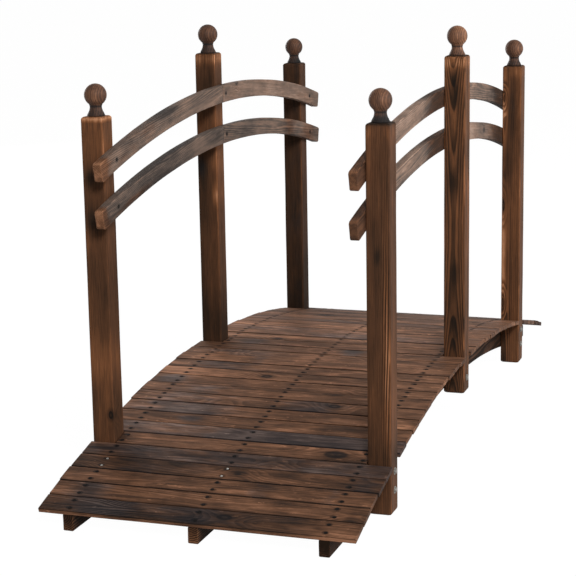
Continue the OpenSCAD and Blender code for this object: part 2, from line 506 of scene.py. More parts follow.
def tidy_faces(made):
    """Joins doubled points, faces outwards, and shades flats flat and roundings round."""
    work = bmesh.new()
    work.from_mesh(made.data)
    bmesh.ops.remove_doubles(work, verts=work.verts, dist=DOUBLED)
    bmesh.ops.recalc_face_normals(work, faces=work.faces)
    work.to_mesh(made.data)
    work.free()
    made.data.shade_smooth()
    weigh = made.modifiers.new("weighted_normals", "WEIGHTED_NORMAL")
    weigh.keep_sharp = True
    weigh.weight = 80


# %% [markdown]
# ## Deck slats
# The deck is 35 slats, each flat and nailed at its own tangent to the arc, so that the walkway is
# a fan of facets rather than a smooth curve. An Array modifier could lay them, but all alike. A
# loop gives each slat its own length, skew and looks. The seams are darkened with painted shade,
# and dirt has darkened a spot round each nail. The slats differ in tone, and the flame left a
# blue-grey film on some.

# %% Name the finish of the deck
SLAT_WIDTH, SLAT_GAP, SLAT_THICK, SLAT_EASE, SLAT_TIP = 0.052, 0.0022, 0.010, 0.0015, 0.001
NAIL_ROW, NAIL_PAIR = 0.269, 0.0135
SLAT_TIP_DIRT, NAIL_STAIN = (0.3305, 0.3345), (0.0066, 0.0032)


def seam_shade_and_stains(burn, place, spot):
    along, side, up = parts(place)
    # Darker seams along the rim of the top face: painted shade between the slats.
    seam_shade = smooth(abs(side), SLAT_WIDTH / 2 - 0.0018, SLAT_WIDTH / 2 - 0.0002)
    burn = burn + seam_shade * smooth(up, 0.0015, 0.0045) * 0.5 + smooth(abs(along), *SLAT_TIP_DIRT) * 0.1
    beside = along.sum("MINIMUM", abs(along), abs(abs(along) - NAIL_ROW)) * 0.7
    off = abs(abs(side) - NAIL_PAIR)
    return burn + smooth((beside * beside + off * off) ** 0.5, *NAIL_STAIN) * 0.34


slat_brown = stops((170, 121, 92), (118, 83, 62), (82, 58, 44), (54, 41, 34), (34, 28, 26))
slat_grey = stops((136, 116, 108), (98, 83, 77), (68, 57, 54), (48, 42, 42), (32, 30, 32))
slat_wood = timber("scorched_slats", slat_brown, slat_grey, ring=0.0032, rings=0.16, streaks=0.46,
                   blotch=0.75, mottle=1.7, worn=0.28, sheen=0.04, extra=seam_shade_and_stains)

# %% [markdown]
# The slats seen best get their own values, read off the photograph: tone, scorch along the slat
# and haze along the slat. The others are drawn from a seeded list, so that every run gives the
# same bridge. A few slats lie a millimetre proud, which shows as a wider dark seam.

# %% Choose the looks of the slats
# Tones rise from about 0.8 on the front slats to about 1.5 on the far ones: partly the slats' own tone,
# partly a painted sheen where the light grazes the far deck.
SLAT_LOOKS = {
    1: (0.78, (0.13, [(-0.15, 0.05, 0.16), (0.0, 0.06, 0.20), (0.14, 0.05, 0.12), (0.30, 0.05, -0.30),
                      (0.0, EVERYWHERE, -0.7, -0.0275, 0.002)]),
        (0.35, [(-0.20, 0.07, 0.5), (0.0, 0.06, 0.4), (0.30, 0.06, -0.4),
                (0.0, EVERYWHERE, -1.6, -0.0275, 0.002)])),
    2: (0.86, (-0.08, [(-0.255, 0.02, 0.20), (-0.31, 0.03, -0.08), (0.155, 0.02, 0.12),
                       (0.31, 0.02, 0.15)]), (0.08, [(-0.25, 0.05, 0.5)])),
    3: (0.84, (-0.06, [(0.095, 0.03, 0.15)]), (0.05, [(0.095, 0.03, 0.4), (0.245, 0.02, 0.4)])),
    4: (0.83, (0.04, [(-0.20, 0.12, 0.18), (-0.03, 0.04, -0.12), (0.08, 0.03, -0.15),
                      (0.30, 0.04, 0.18)]), (0.10, [(-0.15, 0.12, 0.3), (0.30, 0.04, 0.4)])),
    5: (1.00, (0.04, [(-0.25, 0.06, 0.10), (-0.14, 0.05, -0.14)]), (0.55,)),
    6: (1.02, (-0.12, [(-0.27, 0.03, 0.20), (0.205, 0.013, 0.34, 0.001, 0.010)]),
        (0.0, [(0.21, 0.03, 0.6, 0.001, 0.014)])),
    7: (1.00, (0.04, [(-0.20, 0.08, -0.22), (0.12, 0.16, 0.14)]), (0.55, [(0.11, 0.16, 0.5)])),
    8: (1.00, (-0.06, [(-0.16, 0.03, 0.18, 0.004, 0.014), (0.0, 0.06, 0.10), (0.07, 0.05, -0.10),
                       (0.16, 0.06, 0.12)]), (0.05, [(-0.16, 0.035, 0.8, 0.004, 0.014)])),
    9: (1.04, (-0.12, [(-0.235, 0.02, 0.12), (-0.13, 0.02, 0.14), (0.0, 0.08, 0.10),
                       (0.09, 0.06, 0.12)]), (0.15, [(-0.2, 0.12, 0.6)])),
    10: (1.04, (-0.06, [(-0.26, 0.05, -0.12), (-0.015, 0.02, 0.12), (0.08, 0.05, 0.18)]),
         (0.15, [(0.08, 0.06, 0.5), (-0.20, 0.12, 0.4)])),
    11: (1.02, (-0.08, [(0.10, 0.05, 0.08)]), (0.10, [(-0.20, 0.08, 0.4)])),
    12: (1.04, (-0.08, [(-0.14, 0.05, 0.16), (0.0, 0.06, 0.20), (0.12, 0.05, -0.06)]),
         (0.05, [(-0.29, 0.05, 0.6)])),
    13: (1.12, (-0.10, [(-0.28, 0.07, -0.20), (0.03, 0.04, 0.15)]), (0.0,)),
    14: (1.08, (-0.06, [(-0.20, 0.08, 0.15), (0.0, 0.06, 0.10), (0.24, 0.06, 0.08)]),
         (0.10, [(-0.20, 0.10, 0.5)])),
    15: (1.14, (-0.10, [(-0.27, 0.06, -0.14), (0.20, 0.10, -0.06)]), (0.05, [(-0.13, 0.02, 0.4)])),
    16: (1.12, (-0.06, [(0.0, 0.06, -0.28), (0.14, 0.10, -0.14)]), (0.10, [(-0.20, 0.10, 0.4)])),
    17: (1.10, (-0.04, [(0.0, 0.06, -0.12)]), (0.15, [(0.06, 0.03, 0.5)])),
    18: (1.08, (-0.14, [(-0.22, 0.08, 0.18)]), (0.10, [(-0.20, 0.04, 0.4)])),
    19: (1.30, (-0.10, [(-0.27, 0.06, -0.10), (0.28, 0.06, 0.07)]), (0.15,)),
    20: (1.40, (-0.06, [(0.28, 0.06, 0.08)]), (0.20, [(0.05, 0.20, 0.4)])),
    21: (1.50, (-0.10, [(0.20, 0.10, 0.10)]), (0.30, [(-0.20, 0.10, 0.2)])),
    22: (1.52, (-0.14, [(-0.28, 0.06, -0.08), (-0.145, 0.03, 0.15), (0.18, 0.08, 0.08)]), (0.0,)),
    23: (1.50, (-0.08, [(-0.24, 0.10, 0.11), (0.10, 0.08, 0.10)]), (0.25,)),
    24: (1.54, (0.0,), (0.40,)),
    25: (1.52, (-0.10, [(-0.26, 0.08, 0.14), (-0.10, 0.06, 0.12)]), (0.25,)),
    34: (1.30, (-0.06, [(0.335, 0.02, 0.30)]), (0.30,)),
    35: (1.25, (-0.06, [(0.335, 0.02, 0.40)]), (0.30,)),
}
SLAT_EYES = {1: [((0.057, 0.004, 0.005), 1.0, 1.0)], 6: [((0.205, 0.001, 0.005), 1.6, 1.6)]}
SLAT_RISES = {7: 0.0008, 10: 0.0011, 11: 0.0009, 13: 0.0005, 15: 0.0009, 20: 0.0012, 34: 0.0010}
SLAT_MARKS = {1: (1.0, [(-0.18, 0.08, 2.0)])}
print(len(SLAT_LOOKS), "slats chosen by hand")

# %% Lay the slats
DECK_RADIUS = 3.360
SLATS_EACH_WAY, POST_STEP = 17, 12
deck_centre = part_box("middle_post_slat")[1].z - DECK_RADIUS
full_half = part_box("front_ramp_slats")[1].x
short_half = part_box("front_post_slat")[1].x


def slat_frame(step):
    """Matrix of a slat: x along it, y up the arc, z out of the deck, at the middle of its top."""
    angle = step * (SLAT_WIDTH + SLAT_GAP) / DECK_RADIUS
    at = Vector((0, DECK_RADIUS * math.sin(angle), deck_centre + DECK_RADIUS * math.cos(angle)))
    return Matrix.Translation(at) @ Matrix.Rotation(-angle, 4, "X")


def slat_node(step):
    if step == 0:
        return "middle_post_slat"
    end = "front" if step < 0 else "back"
    if abs(step) == POST_STEP:
        return end + "_post_slat"
    return end + ("_bay_slats" if abs(step) < POST_STEP else "_ramp_slats")


deck_piles, slat_lifts = {}, {}
draw = random.Random(35)
for step in range(-SLATS_EACH_WAY, SLATS_EACH_WAY + 1):
    number = step + SLATS_EACH_WAY + 1
    spots = [(draw.uniform(-0.33, 0.33), draw.uniform(0.03, 0.10), draw.uniform(0.05, 0.22))
             for _ in range(3)]
    # The drawn tones, 1.2 to 1.4, belong to far slats and carry the same painted sheen.
    chance = (draw.uniform(1.2, 1.4), (draw.uniform(-0.14, -0.04), spots), (draw.uniform(0.1, 0.5),))
    look = Look(*SLAT_LOOKS.get(number, chance), (0.42, 1.0), SLAT_MARKS.get(number, (1.0,)),
                SLAT_EYES.get(number, ()))
    half = short_half if step in (0, POST_STEP, -POST_STEP) else full_half
    left, right = -half + draw.uniform(0, 0.003), half - draw.uniform(0, 0.0035)
    narrow = draw.choice((0, 0, 0.0003, 0.0006))
    skew = draw.uniform(-0.0012, 0.0012)
    rise = slat_lifts[number] = SLAT_RISES.get(number, 0.0) + draw.uniform(-0.0002, 0.0003)
    lie = slat_frame(step)
    sections = eased(left, right, SLAT_WIDTH / 2 - narrow, SLAT_THICK / 2, SLAT_TIP, SLAT_TIP,
                     pitch=0.014)
    rings = [[(run, a, b) for a, b in outline(ha, hb, SLAT_EASE, flats=4)] for run, ha, hb in sections]
    pith = draw.choice((-1, 1)) * draw.uniform(0.03, 0.12)
    log = from_log(draw.uniform(-0.035, 0.035), pith,
                   draw.uniform(-0.02, 0.02), draw.uniform(-0.03, 0.03))
    deck_piles.setdefault(slat_node(step), Pile()).board(
        rings, lambda run, a, b: lie @ Vector((run, a + skew * run, b - SLAT_THICK / 2 + rise)),
        log, look, number)
for node, pile in deck_piles.items():
    pile.piece(node, "deck_wood", slat_wood)

# %% [markdown]
# ## Stringers
# Three boards on edge are sawn to the deck's arc on top and to a flatter arc below, which leaves
# a flat foot at each end. Two cylinders and a boolean could cut them. A loft is plainer: at each
# step along the board the two arcs give a bottom and a top, and the section fills what is between.
# They stand in the deck's shadow, which is also painted onto their sides as a darker colour, and
# their front ends show lighter end grain with a painted shadow line under the slats.

# %% Saw the stringers
stringer_brown = stops((160, 112, 80), (112, 76, 52), (74, 50, 36), (34, 24, 18))
stringer_grey = stops((120, 104, 96), (84, 72, 66), (56, 48, 45), (34, 31, 31))
stringer_wood = timber("scorched_stringers", stringer_brown, stringer_grey, ring=0.0038, rings=0.6,
                       streaks=0.5, sheen=0.03)
STRINGER_DEPTH, STRINGER_FOOT, STRINGER_PLAY = 0.071, 0.100, 0.0001
STRINGER_END_EASE, STRINGER_EDGE, STRINGER_SEED = 0.0015, 0.002, 50
STRINGER_TOP = DECK_RADIUS - SLAT_THICK - STRINGER_PLAY
under_crown = deck_centre + STRINGER_TOP - STRINGER_DEPTH
under_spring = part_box("left_stringer")[1].y - STRINGER_FOOT
under_radius = (under_spring ** 2 + under_crown ** 2) / (2 * under_crown)


def stringer_heights(y):
    top = deck_centre + math.sqrt(STRINGER_TOP ** 2 - y * y)
    return max(0.0, under_crown - under_radius + math.sqrt(under_radius ** 2 - y * y)), top


STRINGER_ENDS = {"left_stringer": -0.34, "centre_stringer": -0.58, "right_stringer": -0.02}
for number, (name, end) in enumerate(STRINGER_ENDS.items()):
    low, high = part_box(name)
    middle, thick = (low.x + high.x) / 2, high.x - low.x
    rings = []
    for y, _, half_in in eased(low.y, high.y, thick / 2, thick / 2,
                               STRINGER_END_EASE, STRINGER_END_EASE, pitch=0.02):
        bottom, top = stringer_heights(y)
        shrink = thick / 2 - half_in
        mid, half = (bottom + top) / 2, (top - bottom) / 2 - shrink
        rings.append([(y, mid + a, b) for a, b in outline(half, half_in, STRINGER_EDGE)])
    # The base of 0.56 paints the deck's shade onto the sides. The end spots lighten the end grain out
    # of it, and a dark band at the top of each end is a painted shadow under the slats.
    spots = [(low.y, 0.008, end), (high.y, 0.008, end)]
    spots += [(y, 0.03, 0.5, stringer_heights(y)[1], 0.005) for y in (low.y, high.y)]
    look = Look(1.0, (0.56, spots), (0.0,))
    pile = Pile()
    pile.board(rings, lambda run, a, b: Vector((middle + b, run, a)),
               from_log(-0.02 - 0.03 * number, 0.03, 0.02, 0.01), look, STRINGER_SEED + number)
    pile.piece(name, "stringer_wood", stringer_wood)

# %% [markdown]
# ## Posts
# Six square posts with well rounded edges and tops, where the brush wore the char away. The lighter
# rounded corners are that wear and also a painted highlight. Each could have a material of its own,
# but one finish with a short list of spots for each post is easier to hold against the photograph.
# Each came from another part of a log. On the middle right post the pith bows away, so that its
# arches point to the middle from above and from below. Lengths on a post count down from its top.

# %% Name the finish of the posts
POST_HALF, POST_ROUND, POST_TOP_ROUND, POST_SEED = 0.025, 0.004, 0.006, 60
POST_RUB_AND_LIGHT, DRIPS = 0.0045, (-0.034, -0.020)


def worn_and_lit_corners(burn, place, spot):
    along, side, depth = parts(place)
    low, high = POST_HALF - POST_RUB_AND_LIGHT, POST_HALF
    # Lighter rounded corners: brushed wear, and a painted highlight where the edges catch the light.
    rub_and_highlight = smooth(abs(side), low, high) * smooth(abs(depth), low, high)
    patchy = smooth(cloud(spot, (9.0, 1.0, 1.0), 3.0, 0.6), 0.40, 0.65)
    drips = smooth(along, *DRIPS) * (cloud(spot, (14.0, 190.0, 190.0), 2.0, 0.6) - 0.44)
    return burn - rub_and_highlight * patchy * 0.25 - drips * 0.45


post_brown = stops((188, 134, 98), (127, 82, 53), (86, 57, 39), (52, 37, 27), (32, 26, 22))
post_grey = stops((120, 104, 94), (88, 75, 68), (60, 52, 48), (38, 34, 33), (26, 25, 25))
post_wood = timber("scorched_posts", post_brown, post_grey, rings=0.42, streaks=0.28, blotch=0.28,
                   sheen=0.05, extra=worn_and_lit_corners)

# %% Choose the looks of the posts
# A spot at length 0 darkens a post's top round the finial's collar: painted shade where the finial
# sits, and on the front right post char as well.
POST_LOOKS = {
    "front_left_post": (
        from_log(0.07, 0.035, 0.01, 0.0),
        # The light spot at the very top, at -0.004, is worn char and a painted highlight on the rounded
        # top edge.
        Look(1.0, (0.085, [(-0.004, 0.005, -0.40), (-0.065, 0.05, -0.11),
                           # The two spots below the rail ends, at -0.125 and -0.215, are painted
                           # shadows of the rails on the post's front.
                           (-0.125, 0.020, 0.30, -0.006, 0.017),
                           (-0.215, 0.024, 0.40, 0.002, 0.020), (-0.26, 0.03, -0.16, -0.020, 0.010),
                           (-0.44, 0.07, -0.08, -0.020, 0.010), (-0.35, 0.10, 0.12, 0.010, 0.016),
                           (-0.52, 0.05, -0.22), (-0.60, 0.04, -0.10, 0.012, 0.010),
                           (-0.57, 0.12, 0.14, 0.028, 0.006)]),
             (0.0,), (0.0, 1.0), (0.15,), [((-0.634, 0.018, -0.025), 0.55, 0.55)])),
    "front_right_post": (
        from_log(-0.045, 0.06, 0.0, 0.01),
        Look(0.97, (0.12, [(0.0, 0.004, 0.45), (-0.02, 0.02, -0.10, -0.020, 0.010),
                           (-0.02, 0.02, -0.10, 0.018, 0.010), (-0.10, 0.10, -0.06, -0.018, 0.010),
                           (-0.27, 0.16, 0.13, -0.003, 0.010), (-0.265, 0.014, 0.25, -0.002, 0.006),
                           (-0.50, 0.16, -0.22, 0.018, 0.007), (-0.68, 0.03, 0.12),
                           (-0.36, 0.22, 0.05, 0.028, 0.006)]),
             (0.0, [(0.0, EVERYWHERE, 0.10, 0.027, 0.005)]), (0.0, 0.8),
             (0.15, [(-0.45, 0.22, 1.9, 0.017, 0.007)]))),
    "middle_left_post": (
        from_log(0.05, 0.04, 0.0, 0.02),
        Look(1.0, (0.12, [(0.0, 0.002, 0.30), (-0.012, 0.014, -0.28), (-0.015, 0.02, 0.18, 0.0, 0.008),
                          (-0.08, 0.04, 0.12), (-0.17, 0.03, -0.10), (-0.29, 0.05, 0.22, -0.012, 0.014),
                          (-0.265, 0.020, -0.16, 0.016, 0.010), (-0.340, 0.025, -0.40, 0.018, 0.006),
                          (-0.36, 0.05, 0.08, -0.012, 0.014),
                          (-0.45, 0.04, -0.06, -0.010, 0.014), (-0.54, 0.16, 0.18, -0.024, 0.007),
                          (-0.67, 0.09, 0.22), (-0.25, 0.17, -0.20, 0.028, 0.006)]),
             (0.0, [(-0.275, 0.035, 0.7, -0.016, 0.020)]), (0.0, 1.0), (0.18, [(-0.012, 0.018, 0.9)]))),
    "middle_right_post": (
        from_log(0.002, -0.008, 0.0, 0.0, 0.12, -0.393),
        Look(1.0, (0.08, [(0.0, 0.002, 0.35), (-0.015, 0.013, -0.22), (-0.078, 0.038, 0.48, 0.0, 0.007),
                          (-0.235, 0.04, 0.10), (-0.288, 0.024, 0.32, -0.003, 0.008),
                          (-0.345, 0.035, -0.18, 0.0, 0.010),
                          (-0.506, 0.03, 0.30, 0.0, 0.009), (-0.60, 0.08, 0.10),
                          # The spot at -0.81 darkens the foot under the deck: painted shade.
                          (-0.65, 0.05, 0.30, 0.0, 0.008), (-0.81, 0.05, 0.16),
                          (0.0, EVERYWHERE, -0.06, 0.028, 0.006)]),
             (0.0,), (0.0, 0.6), (0.75,))),
    "back_left_post": (
        from_log(0.08, 0.03),
        Look(0.97, (0.26, [(-0.62, 0.12, 0.08), (-0.25, 0.22, -0.18, 0.028, 0.006)]),
             (0.35, [(0.0, EVERYWHERE, -0.35, 0.027, 0.005)]), (0.0, 0.8), (0.2,))),
    "back_right_post": (
        from_log(0.02, 0.05, 0.006, 0.0),
        Look(1.0, (0.01, [(0.0, 0.002, 0.30), (-0.016, 0.014, -0.20, 0.014, 0.014),
                          (-0.13, 0.09, 0.26, 0.003, 0.010), (-0.27, 0.06, 0.26, -0.010, 0.012),
                          (-0.12, 0.05, -0.42, -0.022, 0.007), (-0.52, 0.20, 0.18, 0.0, 0.004),
                          (-0.50, 0.13, -0.40, -0.022, 0.008), (-0.45, 0.20, -0.10, -0.006, 0.010),
                          # The spot at -0.81 darkens the left of the foot: a painted shadow of the
                          # deck.
                          (-0.81, 0.06, 0.36, -0.020, 0.012), (0.0, EVERYWHERE, 0.08, 0.028, 0.005)]),
             (0.0, [(-0.12, 0.12, 0.35, 0.003, 0.012), (0.0, EVERYWHERE, 0.45, 0.028, 0.005)]),
             (0.0, 1.0),
             (0.20, [(-0.10, 0.14, 0.8, -0.020, 0.008), (-0.50, 0.12, 0.5, -0.022, 0.008),
                     (-0.70, 0.12, 0.9, -0.012, 0.012)]),
             [((-0.085, -0.020, -0.025), 0.7, 0.30), ((-0.370, -0.020, -0.025), 1.0, 0.32),
              ((-0.635, -0.020, -0.025), 0.9, 0.32)])),
}
print(len(POST_LOOKS), "posts chosen")

# %% Cut the posts
for number, (name, (log, look)) in enumerate(POST_LOOKS.items()):
    low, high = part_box(name)
    middle = (low + high) / 2
    sections = eased(low.z - high.z, 0.0, POST_HALF, POST_HALF, POST_TOP_ROUND, POST_TOP_ROUND,
                     pitch=0.007)
    rings = [[(run, a, b) for a, b in outline(ha, hb, POST_ROUND, steps=4, flats=7)]
             for run, ha, hb in sections]
    pile = Pile()
    pile.board(rings, lambda run, a, b: Vector((middle.x + a, middle.y + b, high.z + run)),
               log, look, POST_SEED + number)
    pile.piece(name, "post_wood", post_wood)

# %% [markdown]
# ## Rails
# Each rail is two arched halves that overlap at the middle post with a half lap. The halves are
# sawn from straight boards, so the grain runs along the chord and is cut by the arc. A bevelled
# curve would bend the grain with it, so the rails are lofts too, and only their points are bent.
# A grey film lies on the rails except at their brown, worn ends, whose edges are lighter from wear
# and a painted highlight. On the right rails the dark brown next to a post is a painted shadow of
# the post. Lengths count from the middle post outwards and are negative.

# %% Name the finish of the rails
rail_brown = stops((176, 128, 96), (126, 87, 63), (88, 60, 44), (54, 40, 32))
rail_grey = stops((182, 156, 140), (140, 114, 98), (98, 85, 77), (60, 54, 51))
RAIL_RADIUS, RAIL_DEPTH, RAIL_LAP, RAIL_END_ROUND = 2.940, 0.041, 0.038, 0.008
RAIL_MIDDLE = RAIL_RADIUS - RAIL_DEPTH / 2
END_WEAR_AND_LIGHT, SCREW_STAIN = (-0.690, -0.735), (0.0090, 0.0035)
SCREW_AT = math.asin((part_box("back_left_post")[0].y + POST_HALF) / RAIL_MIDDLE) * RAIL_MIDDLE


def worn_and_lit_ends(burn, place, spot):
    along, side, _ = parts(place)
    beside = along.sum("MINIMUM", abs(along), abs(along + SCREW_AT)) * 0.8
    # Lighter edges at the outer ends: wear, and a painted highlight.
    worn_lit_edge = smooth(abs(side), RAIL_DEPTH / 2 - 0.005, RAIL_DEPTH / 2) * smooth(along, *END_WEAR_AND_LIGHT)
    return burn + smooth((beside * beside + side * side) ** 0.5, *SCREW_STAIN) * 0.3 - worn_lit_edge * 0.35


rail_wood = timber("brushed_rails", rail_brown, rail_grey, ring=0.0026, rings=0.28, streaks=0.75,
                   blotch=0.75, mottle=1.4, worn=0.14, sheen=0.05, extra=worn_and_lit_ends)

# %% Choose the looks of the rails
BARE_END = (-0.735, 0.035, -1.1)
# The next two spots darken the front right rails in front of the middle right post, and the first two
# spots below take the grey film off there: together a painted shadow of the post. The last spot below
# is the brown outer end.
MIDDLE_POST_SHADOW = [(-0.03, 0.06, 0.36), (-0.125, 0.06, 0.46)]
BROWN_ENDS = (0.9, [(-0.03, 0.06, -0.6), (-0.125, 0.06, -0.6), (-0.70, 0.09, -1.2)])
RAIL_LOOKS = {
    "front_left_upper_rail": (
        (0.10, [(-0.25, 0.04, -0.12), (-0.375, 0.065, 0.70, 0.018, 0.007),
                (-0.20, 0.015, 0.2, -0.016, 0.008), (-0.60, 0.15, 0.06), (-0.735, 0.01, -0.25)]),
        (0.85, [(-0.55, 0.16, -0.2), (0.0, 0.02, -0.4), BARE_END])),
    "front_left_lower_rail": (
        (0.31, [(-0.06, 0.03, 0.15, 0.010, 0.010), (-0.15, 0.12, -0.15, -0.016, 0.007),
                (-0.32, 0.02, 0.12), (-0.42, 0.14, 0.18), (-0.735, 0.01, -0.40)]),
        (1.0, [(-0.56, 0.13, -0.7, -0.014, 0.010), (0.0, 0.02, -0.4), BARE_END])),
    "back_left_upper_rail": ((0.02, [(-0.47, 0.06, 0.06)]), (0.7,)),
    "back_left_lower_rail": (
        (0.15, [(-0.15, 0.09, 0.18), (-0.47, 0.04, 0.08), (-0.64, 0.05, -0.08)]),
        (0.8, [(-0.10, 0.06, 0.3), (-0.47, 0.05, -0.5), (-0.64, 0.06, -0.5)])),
    "front_right_upper_rail": (
        (0.07, MIDDLE_POST_SHADOW + [(-0.30, 0.08, -0.14), (-0.70, 0.05, 0.26)]), BROWN_ENDS),
    "front_right_lower_rail": (
        (0.18, MIDDLE_POST_SHADOW + [(-0.29, 0.08, -0.10), (-0.70, 0.05, 0.16)]), BROWN_ENDS),
    # The dark brown spot at -0.59 and the bare spot at -0.57 on the back right rails are a painted
    # shadow of the back right post.
    "back_right_upper_rail": (
        (0.21, [(-0.25, 0.05, -0.12), (-0.59, 0.08, 0.48)]), (0.9, [(-0.57, 0.10, -0.6)])),
    "back_right_lower_rail": (
        (0.10, [(-0.25, 0.06, -0.28), (-0.59, 0.09, 0.50)]), (0.8, [(-0.57, 0.10, -0.6)])),
}
RAIL_EYES = {"back_left_upper_rail": [((-0.075, 0.019, 0.009), 0.5, 0.5)],
             "back_right_lower_rail": [((-0.40, 0.002, 0.009), 0.6, 0.6)]}
print(len(RAIL_LOOKS), "half rails chosen")

# %% [markdown]
# One function shapes any half rail. It lofts the section from the rounded end to the shoulder and
# then halves the thickness for the tongue of the lap.

# %% Shape a half rail
RAIL_EDGE, RAIL_END_EASE, LAP_PLAY, RAIL_STEPS, RAIL_SEED = 0.0016, 0.002, 0.0001, 46, 80


def rail_sections(tip, half_b, tongue_side):
    """Sections from the end to the tongue: length, offset, half depth and half thickness."""
    shoulder, half = RAIL_LAP / 2 - LAP_PLAY, RAIL_DEPTH / 2
    rounded = eased(-tip, -tip + 0.02, half, half_b, RAIL_END_ROUND, RAIL_END_EASE, pitch=0.01)
    sections = [(run, 0.0, ha, hb) for run, ha, hb in rounded if run < -tip + RAIL_END_ROUND + 0.0005]
    start = sections[-1][0]
    sections += [(start + (-shoulder - start) * k / RAIL_STEPS, 0.0, half, half_b)
                 for k in range(1, RAIL_STEPS + 1)]
    tongue = half_b / 2 - LAP_PLAY
    return sections + [(run, tongue_side * (half_b - tongue), half, tongue)
                       for run in (-shoulder, -shoulder * 0.3, shoulder * 0.3, shoulder)]


def half_rail(name, sign, post_side, draw):
    low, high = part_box(name)
    middle, half_b = (low.x + high.x) / 2, (high.x - low.x) / 2
    centre = high.z - RAIL_RADIUS
    tip = math.asin(abs(low.y if sign < 0 else high.y) / RAIL_RADIUS) * RAIL_MIDDLE
    lean = tip / 2 / RAIL_MIDDLE
    pith_a, pith_b = draw.uniform(-0.05, 0.05), draw.choice((-1, 1)) * draw.uniform(0.02, 0.05)

    def bent(run, a, b):
        angle, reach = run / RAIL_MIDDLE, RAIL_MIDDLE + a
        return Vector((middle + b, -sign * reach * math.sin(angle), centre + reach * math.cos(angle)))

    def chord(run, a, b):
        at = bent(run, a, b)
        y, z = -sign * at.y, at.z - high.z
        return (y * math.cos(lean) + z * math.sin(lean),
                z * math.cos(lean) - y * math.sin(lean) + pith_a, b + pith_b)

    sections = rail_sections(tip, half_b, post_side if sign < 0 else -post_side)
    rings = [[(run, a, off + b) for a, b in outline(ha, hb, RAIL_EDGE, flats=5)]
             for run, off, ha, hb in sections]
    look = Look(1.0, *RAIL_LOOKS[name], (0.12, 0.8), (1.0,), RAIL_EYES.get(name, ()))
    pile = Pile()
    pile.board(rings, bent, chord, look, RAIL_SEED + draw.randint(0, 60))
    pile.piece(name, "rail_wood", rail_wood)


print(len(rail_sections(0.75, 0.009, 1)), "sections in a half rail")

# %% Bend the rails
rail_draw = random.Random(8)
for side, post_side in (("left", -1), ("right", 1)):
    for level in ("upper", "lower"):
        half_rail(f"front_{side}_{level}_rail", -1, post_side, rail_draw)
        half_rail(f"back_{side}_{level}_rail", 1, post_side, rail_draw)

# %% [markdown]
# ## Finials
# A turned ball on a flared neck sits on each post. A profile spun about an axis is what a lathe
# makes. A Screw modifier could spin it, but the finish needs its attributes on every point, so
# the rings of the profile go into a pile like any board. The flame caught the necks more than
# the balls.

# %% Draw the finial's profile
finial_brown = stops((176, 126, 94), (120, 83, 61), (80, 55, 42), (46, 34, 29), (24, 21, 20))
finial_grey = stops((120, 104, 96), (84, 72, 66), (56, 48, 45), (38, 34, 33), (24, 23, 23))
finial_wood = timber("turned_finials", finial_brown, finial_grey, ring=0.0042, rings=0.16, streaks=0.5,
                     blotch=0.7, sheen=0.18)
BALL, BALL_UP, NECK, NECK_UP = 0.0235, 0.0435, 0.0125, 0.020
COLLAR, COLLAR_UP, COLLAR_LIP = 0.0185, 0.004, 0.0014
COVE_STEPS, BALL_STEPS, FINIAL_SIDES, FINIAL_SEED = 8, 32, 40, 140


def finial_profile():
    """Radius and height from the post top to the crown of the ball."""
    reach, rise = COLLAR - NECK, NECK_UP - COLLAR_UP
    cove = (reach ** 2 + rise ** 2) / (2 * reach)
    profile = [(COLLAR - 0.0008, 0.0), (COLLAR, 0.0008), (COLLAR, COLLAR_UP - 0.0010),
               (COLLAR - 0.0005, COLLAR_UP - 0.0004), (COLLAR - COLLAR_LIP, COLLAR_UP),
               (COLLAR - COLLAR_LIP, COLLAR_UP + 0.0006)]
    for k in range(1, COVE_STEPS + 1):
        height = COLLAR_UP + rise * k / COVE_STEPS
        profile.append((NECK + cove - math.sqrt(cove ** 2 - (NECK_UP - height) ** 2), height))
    start = math.acos(NECK / BALL)
    for k in range(1, BALL_STEPS + 1):
        turn = -start + (start + math.pi / 2) * k / BALL_STEPS
        profile.append((max(0.0003, BALL * math.cos(turn)), BALL_UP + BALL * math.sin(turn)))
    return profile


print(len(finial_profile()), "points in the profile")

# %% Turn the finials
FINIAL_LOOKS = {
    "front_left_finial": (0.88, 0.04, 0.20), "front_right_finial": (0.86, 0.08, 0.60),
    "middle_left_finial": (0.82, 0.10, 0.25), "middle_right_finial": (1.10, -0.06, 0.18),
    "back_left_finial": (0.84, 0.10, 0.25), "back_right_finial": (0.95, 0.02, 0.25),
}
for number, (name, (tone, base, neck)) in enumerate(FINIAL_LOOKS.items()):
    low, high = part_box(name)
    middle = (low + high) / 2
    turns = [math.tau * k / FINIAL_SIDES for k in range(FINIAL_SIDES)]
    rings = [[(h, r * math.cos(t), r * math.sin(t)) for t in turns] for r, h in finial_profile()]
    # At height 0 a thin dark band is painted shade where the collar meets the post. The band at 0.0205
    # darkens the ring where the ball meets the neck, and the spot at 0.006 is the scorched neck.
    look = Look(tone, (base, [(0.0205, 0.0020, 0.45), (0.006, 0.010, neck), (0.0, 0.0015, 0.3)]),
                (0.0,), (0.2, 0.6))
    pile = Pile()
    pile.board(rings, lambda run, a, b: Vector((middle.x + a, middle.y + b, low.z + run)),
               from_log(0.034, 0.010 - 0.002 * number, 0.02, 0.0), look, FINIAL_SEED + 7 * number,
               crooked=0.0)
    pile.piece(name, "finial_wood", finial_wood)

# %% [markdown]
# ## Nails, screws and bolts
# Two nails hold each slat to each stringer. Most heads were blackened by the flame, a few were
# driven later and are bright zinc. One screw holds each rail to each post, and dull zinc bolts
# hold the posts to the stringers. Copies of one object would do for each kind, but heads gathered
# into one mesh keep the list of pieces short. They are spun from profiles too, and the bolts'
# heads have six sides. Nails and screws stand a hair proud, so that no wavering wood hides them.


